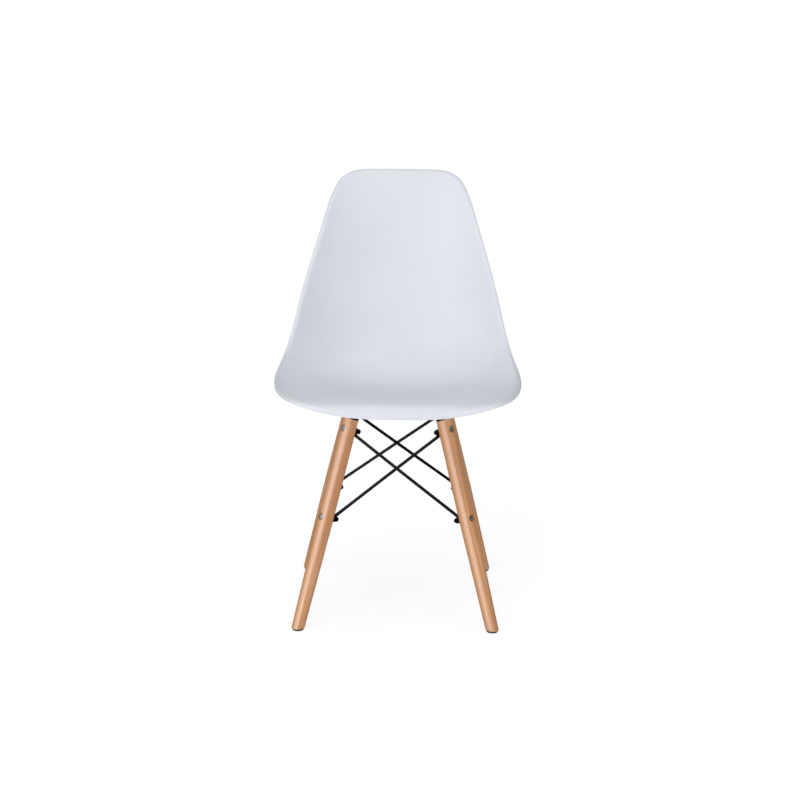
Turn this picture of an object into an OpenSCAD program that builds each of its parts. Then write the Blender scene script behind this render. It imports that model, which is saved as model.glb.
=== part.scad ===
// Side chair: a moulded bucket seat on four splayed dowel legs.
// A steel spider carries the seat on rubber mounts, and crossed wire rods brace the legs.
// The chair faces -Y and stands on Z = 0. Left and right are as seen from the front.

/* [Seat shell] */
// Wall thickness of the moulded seat
shell_t = 4.5; // [3.5:0.5:6]
// Radius of the rolled edge, on the sitter's side
lip_r = 9; // [7:0.5:12]
// How far the edge rolls over, degrees
lip_turn = 80; // [50:5:90]
// Squareness of the two front corners
front_corner = 3.3; // [2.5:0.1:5]
// Squareness of the two top corners
top_corner = 6.3; // [4:0.1:8]
// How late the sides turn up, as a power of the distance from the middle
dish_power = 2.6; // [2:0.1:3.5]
// Diameter of the bosses moulded under the seat
boss_d = 26; // [22:1:30]

/* [Legs] */
// Distance from the middle of the base to the foot of a leg
foot_reach = 254; // [245:0.5:260]
// Lean of a leg from the vertical, degrees
leg_lean = 19.3; // [18.8:0.1:19.8]
// Diameter of a leg above the lower bolt
leg_d = 29; // [28:0.5:30]
// Diameter of a leg at the floor
foot_d = 23.5; // [21:0.5:27]
// Length along the leg that tapers
taper_l = 200; // [150:5:200]
// Length of a leg along its axis
leg_l = 418; // [410:1:422]
// Thickness of the glide under a foot
glide_t = 4; // [3:0.5:6]

/* [Spider] */
// Height of the underside of the arms
arm_z = 380; // [378:1:382]
// Width of the arms
arm_w = 24; // [20:1:26]
// Thickness of the arms and of the hub plate
arm_t = 5; // [4:0.5:6]
// Diameter of the hub plate
hub_d = 92; // [80:1:100]
// Distance from the middle of the base to a seat screw
screw_reach = 84; // [80:1:88]
// Height of the rubber mounts
mount_h = 12; // [10:1:14]
// Diameter of the rubber mounts
mount_d = 28; // [26:1:32]

/* [Bracing] */
// Diameter of the brace rods
rod_d = 6; // [4:0.5:6]
// Thickness of a rod's flattened end
eye_t = 3; // [2.5:0.5:3]
// Width of a rod's flattened end
eye_d = 12; // [11:0.5:12]
// Distance from the bolt to the bend in a rod's flattened end
eye_l = 9.4; // [9.4:0.1:12]
// Angle of a rod's flattened end from the leg's axis, degrees
eye_fan = 32; // [25:1:35]
// Distance from the floor to the lower bolt, along the leg
lower_bolt = 213; // [205:1:220]
// Distance from the floor to the upper bolt, along the leg
upper_bolt = 380.5; // [379:0.5:383]

/* [Fasteners] */
// Diameter of the bolts and screws
bolt_d = 6; // [5:0.5:6]
// Length of the leg bolts under the head
bolt_l = 40; // [37:0.5:40]
// Width across the flats of the cap nuts
nut_af = 10; // [9:0.5:10]

/* [Hidden] */
$fn = 48;
EPS = 0.01;
SIDES = ["rear", "left", "front", "right"];
CORNERS = ["rear_right", "rear_left", "front_left", "front_right"];

PAST = 60; // longer than anything that a cut runs through

// The base's middle lies this far in front of the origin, which is the middle of the whole chair's box.
base_y = -15.7;

// Stations of the seat from the front edge to the top of the back:
// [distance back, height, half width, rise of the side edge].
STATIONS = [
    [-251, 424, 203, 5],
    [-244, 441, 220, 1],
    [-205, 445, 228, 1],
    [-120, 438, 228, 10],
    [-45, 429, 223, 24],
    [30, 421, 216, 37],
    [98, 426, 208, 47],
    [150, 464, 201, 52],
    [178, 531, 189, 53],
    [204, 610, 169, 48],
    [230, 687, 149, 38],
    [254, 754, 141, 27],
    [273, 803, 151, 14]
];
LAST = len(STATIONS) - 1;
ACROSS = 24; // facets from side to side
ALONG = 34; // facets from front to top
ROLL = 3; // facets round the rolled edge

// Steps inwards from the face of a leg along a bolt: two rod eyes, a washer, then the cap nut.
washer_t = 2;
washer_d = 12;
head_d = 11.5;
head_h = 3.2;
head_pocket_d = 13;
head_seat = leg_d / 2 - 5.5;
socket_af = 4;
socket_deep = 2;
nut_hex_h = 5.5;
dome_h = 5.2;
nut_bore_l = 9.2;
hole_d = bolt_d + 0.6;
inner_face = leg_d / 2 - 1; // flats that the rod eyes bear on, from the leg's axis
lower_flat_from = 200;
lower_flat_to = 236;
tab_t = 4;
tab_from = 367;
notch_from = 399.5; // floor of the notch in a leg's top, along the leg
horn_x = 11; // inner side of the wood left standing outside the notch, from the leg's axis
rod_gap = 0.2;
rod_bow = 2.2;
rod_knuckle_d = rod_d + 0.1;

arm_from = arm_w / 2 + 1;
arm_to = 118;
hub_z = arm_z - arm_t;
mount_z = arm_z + arm_t;
boss_z = mount_z + mount_h;
insert_d = 9;
insert_l = 14;
boss_bore_l = 15.5;
screw_l = 33;
seat_head_d = 12;
seat_head_h = 4;
seat_washer_d = 15.5;
seat_washer_t = 1.2;

glide_d = 21;
glide_nail_d = 3;
glide_nail_l = 20;
glide_head_d = 7;
glide_head_h = 1.5;
glide_reach = foot_reach - glide_t * tan(leg_lean);

// ---- Seat surface -------------------------------------------------------------------------

// Station i, carried on past both ends in a straight line
function station(i) =
    i < 0 ? 2 * STATIONS[0] - STATIONS[1]
    : i > LAST ? 2 * STATIONS[LAST] - STATIONS[LAST - 1]
    : STATIONS[i];

// Cubic B-spline through the stations, and its slope, at s from 0 to LAST
function blend(s) =
    let (i = min(floor(s), LAST - 1), f = s - i, g = 1 - f)
    (station(i - 1) * g * g * g
        + station(i) * (3 * f * f * f - 6 * f * f + 4)
        + station(i + 1) * (3 * g * g * g - 6 * g * g + 4)
        + station(i + 2) * f * f * f) / 6;
function blend_slope(s) =
    let (i = min(floor(s), LAST - 1), f = s - i, g = 1 - f)
    (station(i + 2) * f * f - station(i - 1) * g * g
        + station(i) * (3 * f * f - 4 * f)
        + station(i + 1) * (4 * g - 3 * g * g)) / 2;

// Point of the sitter's side: across from -1 (left) to 1, along from -1 (front) to 1 (top)
function seat_point(across, along) =
    let (s = (along + 1) / 2 * LAST, q = blend(s), d = blend_slope(s))
    let (t = [d[0], d[1]] / norm([d[0], d[1]]), rise = q[3] * pow(abs(across), dish_power))
    [q[2] * across, q[0] - t[1] * rise, q[1] + t[0] * rise];

function unit(v) = v / norm(v);

// Direction square to the surface, towards the sitter
function seat_normal(across, along, step = 0.002) =
    unit(cross(
        seat_point(min(across + step, 1), along) - seat_point(max(across - step, -1), along),
        seat_point(across, min(along + step, 1)) - seat_point(across, max(along - step, -1))));

// Rounds the corners of the square grid a, b in -1..1
function corner(b) = b < 0 ? front_corner : top_corner;
function round_across(a, b) = a * (1 - pow(abs(b), corner(b)) / (corner(b) + 1));
function round_along(a, b) = b * (1 - pow(abs(a), corner(b)) / (corner(b) + 1));
function grid_across(i, j) = round_across(2 * i / ACROSS - 1, 2 * j / ALONG - 1);
function grid_along(i, j) = round_along(2 * i / ACROSS - 1, 2 * j / ALONG - 1);

GRID = [for (j = [0:ALONG], i = [0:ACROSS]) seat_point(grid_across(i, j), grid_along(i, j))];
NORMALS = [for (j = [0:ALONG], i = [0:ACROSS]) seat_normal(grid_across(i, j), grid_along(i, j))];
function cell(i, j) = j * (ACROSS + 1) + i;

// Grid points round the edge: along the front, up the right, back over the top, down the left
RIM = concat(
    [for (i = [0:ACROSS - 1]) cell(i, 0)],
    [for (j = [0:ALONG - 1]) cell(ACROSS, j)],
    [for (i = [0:ACROSS - 1]) cell(ACROSS - i, ALONG)],
    [for (j = [0:ALONG - 1]) cell(0, ALONG - j)]);
RIM_N = len(RIM);
function rim_tangent(k) = GRID[RIM[(k + 1) % RIM_N]] - GRID[RIM[(k + RIM_N - 1) % RIM_N]];

// Ring of points round the rolled edge, at a turn in degrees and a radius from the roll's axis
function ring(turn, r) = [
    for (k = [0:RIM_N - 1])
        let (n = NORMALS[RIM[k]], out = unit(cross(rim_tangent(k), n)))
        GRID[RIM[k]] - lip_r * n + r * (cos(turn) * n + sin(turn) * out)];

function quad(a, b, c, d) = [[a, b, c], [a, c, d]];
function band(lower, upper) = [
    for (k = [0:RIM_N - 1])
        let (m = (k + 1) % RIM_N)
        each quad(lower[k], upper[k], upper[m], lower[m])];
function count_from(first) = [for (k = [0:RIM_N - 1]) first + k];

module seat_skin() {
    size = len(GRID);
    upper = [for (r = [1:ROLL]) each ring(lip_turn * r / ROLL, lip_r)];
    lower = [for (r = [1:ROLL]) each ring(lip_turn * r / ROLL, lip_r - shell_t)];
    under = [for (k = [0:size - 1]) GRID[k] - shell_t * NORMALS[k]];
    upper_from = 2 * size;
    lower_from = upper_from + ROLL * RIM_N;
    upper_rings = concat([RIM], [for (r = [0:ROLL - 1]) count_from(upper_from + r * RIM_N)]);
    under_rim = [for (k = RIM) k + size];
    lower_rings = concat([under_rim], [for (r = [0:ROLL - 1]) count_from(lower_from + r * RIM_N)]);
    faces = concat(
        [for (j = [0:ALONG - 1], i = [0:ACROSS - 1])
            each quad(cell(i, j), cell(i, j + 1), cell(i + 1, j + 1), cell(i + 1, j))],
        [for (j = [0:ALONG - 1], i = [0:ACROSS - 1])
            each quad(
                cell(i + 1, j) + size, cell(i + 1, j + 1) + size,
                cell(i, j + 1) + size, cell(i, j) + size)],
        [for (r = [0:ROLL - 1]) each band(upper_rings[r + 1], upper_rings[r])],
        [for (r = [0:ROLL - 1]) each band(lower_rings[r], lower_rings[r + 1])],
        band(lower_rings[ROLL], upper_rings[ROLL]));
    polyhedron(points = concat(GRID, under, upper, lower), faces = faces, convexity = 6);
}

// ---- Places ------------------------------------------------------------------------------

// The base's own frame: origin on the floor at the middle of the four feet
module base() {
    translate([0, base_y, 0]) children();
}

// Corner i from 0 (rear right), anticlockwise from above: X points outwards
module at_corner(i) {
    base() rotate([0, 0, 45 + 90 * i]) children();
}

// A leg's own frame: Z along the leg from the floor, X outwards
module along_leg(i) {
    at_corner(i) translate([foot_reach, 0, 0]) rotate([0, -leg_lean, 0]) children();
}

// The base's frame's point for a point in the frame of leg i
function leg_point(i, p) =
    let (a = 45 + 90 * i, r = foot_reach + p[0] * cos(leg_lean) - p[2] * sin(leg_lean))
    [r * cos(a) - p[1] * sin(a), r * sin(a) + p[1] * cos(a), p[0] * sin(leg_lean) + p[2] * cos(leg_lean)];

// A bolt's own frame on a leg: Z points inwards from the leg's axis
module along_bolt(i, height) {
    along_leg(i) translate([0, 0, height]) rotate([0, -90, 0]) children();
}

// A seat screw's own axis at corner i
module at_screw(i) {
    at_corner(i) translate([screw_reach, 0, 0]) children();
}

// ---- Seat --------------------------------------------------------------------------------

// Where the seat surface stands over corner i's screw
function screw_x(i) = screw_reach * cos(45 + 90 * i);
function screw_y(i) = screw_reach * sin(45 + 90 * i);
function find_along(x, y, low = -0.9, high = 0.2, turns = 20) =
    let (mid = (low + high) / 2)
    turns == 0 ? mid
    : seat_point(find_across(x, mid), mid)[1] < y ? find_along(x, y, mid, high, turns - 1)
    : find_along(x, y, low, mid, turns - 1);
function find_across(x, along) = x / seat_point(1, along)[0];

module boss(i) {
    x = screw_x(i);
    y = screw_y(i);
    along = find_along(x, y);
    across = find_across(x, along);
    top = seat_point(across, along) - shell_t / 2 * seat_normal(across, along);
    n = seat_normal(across, along);
    difference() {
        translate([x, y, boss_z]) cylinder(d = boss_d, h = PAST);
        translate([x, y, top[2]])
            rotate([-atan2(n[1], n[2]), atan2(n[0], n[2]), 0])
                translate([-PAST, -PAST, 0]) cube(2 * PAST);
        translate([x, y, boss_z - EPS]) cylinder(d = insert_d, h = boss_bore_l);
    }
}

module seat_shell() {
    color("whitesmoke") base() union() {
        seat_skin();
        for (i = [0:3]) boss(i);
    }
}

module seat_inserts() {
    color("goldenrod") for (i = [0:3]) at_screw(i) translate([0, 0, boss_z]) difference() {
        cylinder(d = insert_d, h = insert_l);
        translate([0, 0, -1]) cylinder(d = bolt_d, h = insert_l + 2);
    }
}

module seat_screws() {
    color("silver") for (i = [0:3]) at_screw(i) translate([0, 0, arm_z - seat_washer_t]) {
        cylinder(d = bolt_d, h = screw_l);
        translate([0, 0, -seat_head_h]) difference() {
            cylinder(d1 = seat_head_d - 3, d2 = seat_head_d, h = seat_head_h);
            translate([0, 0, -1]) cylinder(d = socket_af, h = socket_deep + 1, $fn = 6);
        }
    }
}

module seat_washers() {
    color("silver") for (i = [0:3]) at_screw(i) translate([0, 0, arm_z - seat_washer_t])
        ring_plate(seat_washer_d, bolt_d, seat_washer_t);
}

module rubber_mount(i) {
    waist = 1.5;
    color("dimgray") at_screw(i) translate([0, 0, mount_z]) difference() {
        cylinder(d = mount_d, h = mount_h);
        rotate_extrude() translate([mount_d / 2 + waist, mount_h / 2]) circle(r = 2 * waist);
        translate([0, 0, -1]) cylinder(d = hole_d, h = mount_h + 2);
    }
}

module ring_plate(outer, inner, thick) {
    difference() {
        cylinder(d = outer, h = thick);
        translate([0, 0, -1]) cylinder(d = inner, h = thick + 2);
    }
}

// ---- Spider ------------------------------------------------------------------------------

module spider_hub() {
    color("black") base() translate([0, 0, hub_z]) ring_plate(hub_d, hub_d / 5, arm_t);
}

// Notch in a leg's top, square to the leg
module notch(i) {
    along_leg(i) translate([horn_x - 2 * leg_d, -leg_d, notch_from]) cube([2 * leg_d, 2 * leg_d, PAST]);
}

// Inner face of a leg, from the outside of the tab in to a depth
module face_slab(i, depth) {
    along_leg(i) translate([-inner_face, -leg_d, tab_from]) cube([depth, 2 * leg_d, PAST]);
}

// Strap from the hub to the leg. A block under its end fills the notch in the leg, flush with the
// round of the leg, and a tab turns down the leg's inner face.
module spider_arm(i) {
    color("black") difference() {
        union() {
            at_corner(i) translate([arm_from, -arm_w / 2, arm_z]) cube([arm_to - arm_from, arm_w, arm_t]);
            intersection() {
                along_leg(i) translate([0, 0, tab_from]) cylinder(d = leg_d, h = PAST);
                face_slab(i, inner_face + horn_x);
                at_corner(i) translate([0, -leg_d, 0]) cube([foot_reach, 2 * leg_d, mount_z]);
                union() {
                    notch(i);
                    face_slab(i, tab_t);
                }
            }
        }
        at_screw(i) translate([0, 0, arm_z - 1]) cylinder(d = hole_d, h = arm_t + 2);
        along_bolt(i, upper_bolt) cylinder(d = hole_d, h = leg_d);
    }
}

// ---- Legs --------------------------------------------------------------------------------

module leg(i) {
    chamfer = 1.5;
    color("burlywood") difference() {
        along_leg(i) union() {
            translate([0, 0, -foot_d / 2]) cylinder(d = foot_d, h = foot_d / 2 + EPS);
            cylinder(d1 = foot_d, d2 = leg_d, h = taper_l);
            translate([0, 0, taper_l]) cylinder(d = leg_d, h = leg_l - taper_l - chamfer);
            translate([0, 0, leg_l - chamfer]) cylinder(d1 = leg_d, d2 = leg_d - 2 * chamfer, h = chamfer);
        }
        // level foot on the glide
        at_corner(i) translate([foot_reach - leg_d, -leg_d, glide_t - PAST]) cube([2 * leg_d, 2 * leg_d, PAST]);
        // pilot hole of the glide's nail
        at_corner(i) translate([glide_reach, 0, 0]) cylinder(d = glide_nail_d, h = glide_nail_l + 2);
        // notch for the arm's block, and flats for its tab and for the lower eyes
        notch(i);
        along_leg(i) translate([-leg_d - inner_face + tab_t, -leg_d, tab_from]) cube([leg_d, 2 * leg_d, leg_l]);
        along_leg(i) translate([-leg_d - inner_face, -leg_d, lower_flat_from])
            cube([leg_d, 2 * leg_d, lower_flat_to - lower_flat_from]);
        for (height = [lower_bolt, upper_bolt]) {
            along_bolt(i, height) translate([0, 0, -leg_d]) cylinder(d = hole_d, h = 2 * leg_d);
            along_bolt(i, height) translate([0, 0, -leg_d]) cylinder(d = head_pocket_d, h = leg_d - head_seat);
        }
    }
}

module glide(i) {
    color("dimgray") at_corner(i) translate([glide_reach, 0, 0]) difference() {
        union() {
            cylinder(d1 = glide_d - 2, d2 = glide_d, h = 1);
            translate([0, 0, 1]) cylinder(d = glide_d, h = glide_t - 1);
        }
        translate([0, 0, -1]) cylinder(d = glide_nail_d, h = glide_t + 2);
        translate([0, 0, -1]) cylinder(d = glide_head_d, h = 1 + glide_head_h + 1);
    }
}

module glide_nails() {
    color("silver") for (i = [0:3]) at_corner(i) translate([glide_reach, 0, 1]) {
        cylinder(d = glide_head_d, h = glide_head_h);
        cylinder(d = glide_nail_d, h = glide_nail_l);
    }
}

// ---- Leg bolts ---------------------------------------------------------------------------

module leg_bolts(height) {
    color("silver") for (i = [0:3]) along_bolt(i, height) translate([0, 0, -head_seat]) {
        cylinder(d = bolt_d, h = bolt_l);
        mirror([0, 0, 1]) difference() {
            cylinder(d1 = head_d, d2 = head_d - 4, h = head_h);
            translate([0, 0, head_h - socket_deep]) cylinder(d = socket_af / cos(30), h = 3, $fn = 6);
        }
    }
}

module leg_washers(height) {
    color("black") for (i = [0:3]) along_bolt(i, height) translate([0, 0, inner_face + 2 * eye_t])
        ring_plate(washer_d, bolt_d, washer_t);
}

module cap_nuts(height) {
    color("black") for (i = [0:3]) along_bolt(i, height) translate([0, 0, inner_face + 2 * eye_t + washer_t])
        difference() {
            union() {
                cylinder(d = nut_af / cos(30), h = nut_hex_h, $fn = 6);
                translate([0, 0, nut_hex_h]) intersection() {
                    sphere(d = 2 * dome_h + 0.5);
                    translate([0, 0, -EPS]) cylinder(d = nut_af, h = dome_h + 1);
                }
            }
            translate([0, 0, -1]) cylinder(d = bolt_d, h = nut_bore_l + 1);
        }
}

// ---- Brace rods --------------------------------------------------------------------------

module rod(p, q) {
    d = q - p;
    translate(p) rotate([0, acos(d[2] / norm(d)), atan2(d[1], d[0])]) cylinder(d = rod_d, h = norm(d));
}

// Flattened end: an eye round the bolt and a tapering blade to the bend. It lies on layer 0 or 1,
// turns towards the next leg (side 1) or the one before (side -1), and points up or down the leg.
module rod_eye(i, height, layer, side, up) {
    waist = 0.8;
    along_bolt(i, height) translate([0, 0, inner_face + layer * eye_t])
        rotate([0, 0, (up > 0 ? 0 : 180) + up * side * eye_fan]) difference() {
            union() {
                cylinder(d = eye_d, h = eye_t);
                linear_extrude(eye_t) polygon([
                    [0, -eye_d / 2 * waist], [eye_l, -rod_d / 2], [eye_l, rod_d / 2], [0, eye_d / 2 * waist]]);
            }
            translate([0, 0, -1]) cylinder(d = hole_d, h = eye_t + 2);
        }
}

// Where the round rod starts at an eye
function rod_start(i, height, layer, side, up) =
    leg_point(i, [
        -inner_face - layer * eye_t - rod_d / 2 - rod_gap,
        side * eye_l * sin(eye_fan),
        height + up * eye_l * cos(eye_fan)]);

// Rod on side i, from a leg's upper bolt down to the next leg's lower bolt (outer),
// or from the next leg's upper bolt down to this leg's lower bolt (inner).
module brace(i, outer) {
    side = outer ? 1 : -1;
    layer = outer ? 0 : 1;
    top_leg = outer ? i : i + 1;
    low_leg = outer ? i + 1 : i;
    top = rod_start(top_leg, upper_bolt, layer, side, -1);
    low = rod_start(low_leg, lower_bolt, layer, -side, 1);
    outwards = [cos(90 + 90 * i), sin(90 + 90 * i), 0];
    half_top = abs(cross(outwards, top)[2]);
    half_low = abs(cross(outwards, low)[2]);
    middle = top + (low - top) * half_top / (half_top + half_low) + side * rod_bow * outwards;
    color("black") {
        base() union() {
            rod(top, middle);
            rod(middle, low);
            for (p = [top, middle, low]) translate(p) sphere(d = rod_knuckle_d);
        }
        rod_eye(top_leg, upper_bolt, layer, side, -1);
        rod_eye(low_leg, lower_bolt, layer, -side, 1);
    }
}

// ---- Nodes -------------------------------------------------------------------------------

seat_shell();
seat_inserts();
seat_screws();
seat_washers();
spider_hub();
for (i = [0:3]) {
    rubber_mount(i);
    spider_arm(i);
    leg(i);
    glide(i);
    brace(i, true);
    brace(i, false);
}
glide_nails();
leg_bolts(upper_bolt);  // upper_leg_bolts
leg_washers(upper_bolt);  // upper_leg_washers
cap_nuts(upper_bolt);  // upper_cap_nuts
leg_bolts(lower_bolt);  // lower_leg_bolts
leg_washers(lower_bolt);  // lower_leg_washers
cap_nuts(lower_bolt);  // lower_cap_nuts
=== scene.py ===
import math

import bmesh
import bpy
import numpy as np
from mathutils import Matrix, Vector


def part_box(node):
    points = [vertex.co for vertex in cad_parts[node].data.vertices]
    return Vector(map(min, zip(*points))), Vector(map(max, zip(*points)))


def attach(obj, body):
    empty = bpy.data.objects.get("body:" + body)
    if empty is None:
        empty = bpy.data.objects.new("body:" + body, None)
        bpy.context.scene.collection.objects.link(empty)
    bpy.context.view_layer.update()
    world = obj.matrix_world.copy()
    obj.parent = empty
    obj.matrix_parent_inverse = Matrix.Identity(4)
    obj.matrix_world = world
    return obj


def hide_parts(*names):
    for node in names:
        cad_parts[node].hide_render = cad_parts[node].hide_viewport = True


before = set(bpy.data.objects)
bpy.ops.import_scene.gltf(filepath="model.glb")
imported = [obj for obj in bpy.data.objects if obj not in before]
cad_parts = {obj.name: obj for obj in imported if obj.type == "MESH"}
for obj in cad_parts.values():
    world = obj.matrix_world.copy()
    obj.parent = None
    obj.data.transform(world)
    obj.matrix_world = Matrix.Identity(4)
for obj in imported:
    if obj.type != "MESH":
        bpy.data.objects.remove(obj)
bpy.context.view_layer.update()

# Lengths are in millimetres until mesh_object() writes them in metres. Angles are in degrees.
MM = 0.001
CORNERS = ["rear_right", "rear_left", "front_left", "front_right"]
SIDES = ["rear", "left", "front", "right"]


def box_mm(node):
    """Lowest and highest corner of a CAD node, in millimetres."""
    low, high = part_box(node)
    return np.array(low) / MM, np.array(high) / MM


# ---- Driving dimensions ---------------------------------------------------------------------

HUB_LOW, HUB_HIGH = box_mm("spider_hub")
MOUNT_LOW, MOUNT_HIGH = box_mm("rubber_mount_rear_right")
BASE_Y = (HUB_LOW[1] + HUB_HIGH[1]) / 2

SHELL_T = 4.5
LIP_R = 9
LIP_TURN = 80
FRONT_CORNER = 3.3
TOP_CORNER = 6.3
DISH_POWER = 2.6
BOSS_D = 26

FOOT_REACH = 254
LEG_LEAN = 19.3
LEG_D = 29
FOOT_D = 23.5
TAPER_L = 200
LEG_L = 418
LEG_EASE = 1.5
GLIDE_T = 4
GLIDE_D = 21
GLIDE_REACH = FOOT_REACH - GLIDE_T * math.tan(math.radians(LEG_LEAN))
NAIL_D = 3
NAIL_HEAD_D = 7
NAIL_DEEP = 2.5
NAIL_L = 21

HUB_Z = HUB_LOW[2]
ARM_Z = HUB_HIGH[2]
ARM_T = ARM_Z - HUB_Z
ARM_W = 24
ARM_FROM = 13
ARM_TO = 118
ARM_CORNER = 5
PLATE_EDGE = 0.8
HUB_D = HUB_HIGH[0] - HUB_LOW[0]
HUB_BORE = HUB_D / 5
SCREW_REACH = 84
MOUNT_D = MOUNT_HIGH[0] - MOUNT_LOW[0]
MOUNT_Z = MOUNT_LOW[2]
BOSS_Z = MOUNT_HIGH[2]
TAB_T = 4
TAB_FROM = 367
NOTCH_FROM = 399.5
HORN_X = 11
SHOE_DROP = 0.8

ROD_D = 6
ROD_BOW = 2.2
ROD_GAP = 0.2
EYE_T = 3
EYE_D = 12
EYE_L = 9.4
EYE_FAN = 32
LOWER_BOLT = 213
UPPER_BOLT = 380.5
INNER_FACE = LEG_D / 2 - 1
FLAT_FROM = 200
FLAT_TO = 236

BOLT_D = 6
BOLT_L = 40
BORE_D = 6.6
HEAD_D = 11.5
HEAD_H = 3.2
HEAD_SEAT = LEG_D / 2 - 5.5
POCKET_D = 13
POCKET_EASE = 2
SOCKET_AF = 4
SOCKET_DEEP = 2
WASHER_D = 12
WASHER_T = 2
NUT_AF = 10
NUT_HEX_H = 5.5
DOME_H = 5.2
NUT_DEEP = 9.2

SCREW_HEAD_D = 12
SCREW_HEAD_H = 4
SCREW_L = 33
SCREW_WASHER_D = 15.5
SCREW_WASHER_T = 1.2

# Stations of the seat from the front edge to the top of the back:
# [distance back and height of the middle line, half width, rise of the side edge].
STATIONS = np.array([
    [-251, 424, 203, 5],
    [-244, 441, 220, 1],
    [-205, 445, 228, 1],
    [-120, 438, 228, 10],
    [-45, 429, 223, 24],
    [30, 421, 216, 37],
    [98, 426, 208, 47],
    [150, 464, 201, 52],
    [178, 531, 189, 53],
    [204, 610, 169, 48],
    [230, 687, 149, 38],
    [254, 754, 141, 27],
    [273, 803, 151, 14],
], float)
ACROSS = 112
ALONG = 160

# How far the heart of the grain lies from a leg's axis.
GRAIN_HEART = 11


# ---- Places ---------------------------------------------------------------------------------

def shift(x, y, z):
    m = np.eye(4)
    m[:3, 3] = x, y, z
    return m


def turn(axis, angle):
    """Rotation about X, Y or Z."""
    return np.array(Matrix.Rotation(math.radians(angle), 4, axis))


def corner_frame(i):
    """Corner i from 0 (rear right), anticlockwise from above: X points outwards."""
    return shift(0, BASE_Y, 0) @ turn("Z", 45 + 90 * i)


def leg_frame(i):
    """Z along leg i from the floor, X outwards."""
    return corner_frame(i) @ shift(FOOT_REACH, 0, 0) @ turn("Y", -LEG_LEAN)


def bolt_frame(i, height):
    """A bolt's own frame on leg i: Z points inwards from the leg's axis."""
    return leg_frame(i) @ shift(0, 0, height) @ turn("Y", -90)


def screw_frame(i):
    return corner_frame(i) @ shift(SCREW_REACH, 0, 0)


def glide_frame(i):
    return corner_frame(i) @ shift(GLIDE_REACH, 0, 0)


def side_frame(i):
    """Takes what is built on the rear side round to side i."""
    return corner_frame(i) @ np.linalg.inv(corner_frame(0))


# ---- Shapes: a shape is (points, faces) -----------------------------------------------------

def moved(matrix, shape):
    points, faces = shape
    return points @ matrix[:3, :3].T + matrix[:3, 3], faces


def joined(*shapes):
    points, faces, first = [], [], 0
    for p, f in shapes:
        points.append(p)
        faces += [[first + k for k in face] for face in f]
        first += len(p)
    return np.concatenate(points), faces


def loft(rings, loop=False):
    """Skin over rings of points. A loop closes on its first ring, and otherwise both ends are capped."""
    rings = np.asarray(rings, float)
    count, around = rings.shape[:2]
    last = count if loop else count - 1
    faces = [
        [r * around + k, r * around + (k + 1) % around,
         (r + 1) % count * around + (k + 1) % around, (r + 1) % count * around + k]
        for r in range(last) for k in range(around)
    ]
    points = rings.reshape(-1, 3)
    if not loop:
        middles = len(points)
        points = np.concatenate([points, [rings[0].mean(0), rings[-1].mean(0)]])
        top = (count - 1) * around
        for k in range(around):
            faces.append([middles, (k + 1) % around, k])
            faces.append([middles + 1, top + k, top + (k + 1) % around])
    return points, faces


def rounded(corners, radius, steps=4, closed=True):
    """A polyline with its corners eased over a length: one radius, or one for each corner."""
    corners = np.asarray(corners, float)
    count = len(corners)
    radii = np.broadcast_to(radius, count)
    points = []
    for k, v in enumerate(corners):
        if (not closed and k in (0, count - 1)) or radii[k] == 0:
            points.append(v)
            continue
        before, after = corners[k - 1] - v, corners[(k + 1) % count] - v
        p = v + before * min(0.5, radii[k] / np.linalg.norm(before))
        q = v + after * min(0.5, radii[k] / np.linalg.norm(after))
        for t in np.linspace(0, 1, steps + 1):
            points.append(p * (1 - t) ** 2 + 2 * v * t * (1 - t) + q * t ** 2)
    return np.array(points)


def circle_angles(sides):
    return np.arange(sides) * 2 * math.pi / sides


def hexagon(across_flats, angles):
    """Radius of a hexagon at each angle."""
    sixth = math.pi / 3
    return across_flats / 2 / np.cos((angles + sixth / 2) % sixth - sixth / 2)


def lathe(profile, sides=64, loop=False):
    """Turns a profile of (radius, height) about Z. A radius may be a list with one for each angle."""
    angles = circle_angles(sides)
    rings = [
        np.stack([radius * np.cos(angles), radius * np.sin(angles), np.full(sides, height)], 1)
        for radius, height in profile
    ]
    return loft(rings, loop)


def inset(outline, by):
    """A convex outline moved inwards, its points kept."""
    along = np.roll(outline, -1, 0) - np.roll(outline, 1, 0)
    along /= np.linalg.norm(along, axis=1)[:, None]
    return outline + by * np.stack([-along[:, 1], along[:, 0]], 1)


def plate(outline, low, high, edge, steps=3):
    """A flat plate with eased edges. The outline goes anticlockwise."""
    turns = np.linspace(0, math.pi / 2, steps + 1)
    levels = [(edge * (1 - math.sin(t)), low + edge * (1 - math.cos(t))) for t in turns]
    levels += [(edge * (1 - math.cos(t)), high - edge * (1 - math.sin(t))) for t in turns]
    rings = []
    for by, z in levels:
        flat = inset(outline, by)
        rings.append(np.column_stack([flat, np.full(len(flat), z)]))
    return loft(rings)


def block(xs, ys, low, high):
    """A box whose ends are heights, each a number or a function of x."""
    def end(level):
        return [(x, y, level(x) if callable(level) else level)
                for x, y in [(xs[0], ys[0]), (xs[1], ys[0]), (xs[1], ys[1]), (xs[0], ys[1])]]
    return loft([end(low), end(high)])


def cylinder(d, low, high, sides=64):
    return lathe([(d / 2, low), (d / 2, high)], sides)


# ---- Pieces ---------------------------------------------------------------------------------

def mesh_object(name, shape):
    points, faces = shape
    mesh = bpy.data.meshes.new(name)
    mesh.from_pydata((points * MM).tolist(), [], faces)
    tidy = bmesh.new()
    tidy.from_mesh(mesh)
    bmesh.ops.remove_doubles(tidy, verts=tidy.verts, dist=1e-6)
    bmesh.ops.recalc_face_normals(tidy, faces=tidy.faces)
    tidy.to_mesh(mesh)
    tidy.free()
    obj = bpy.data.objects.new(name, mesh)
    bpy.context.scene.collection.objects.link(obj)
    return obj


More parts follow.
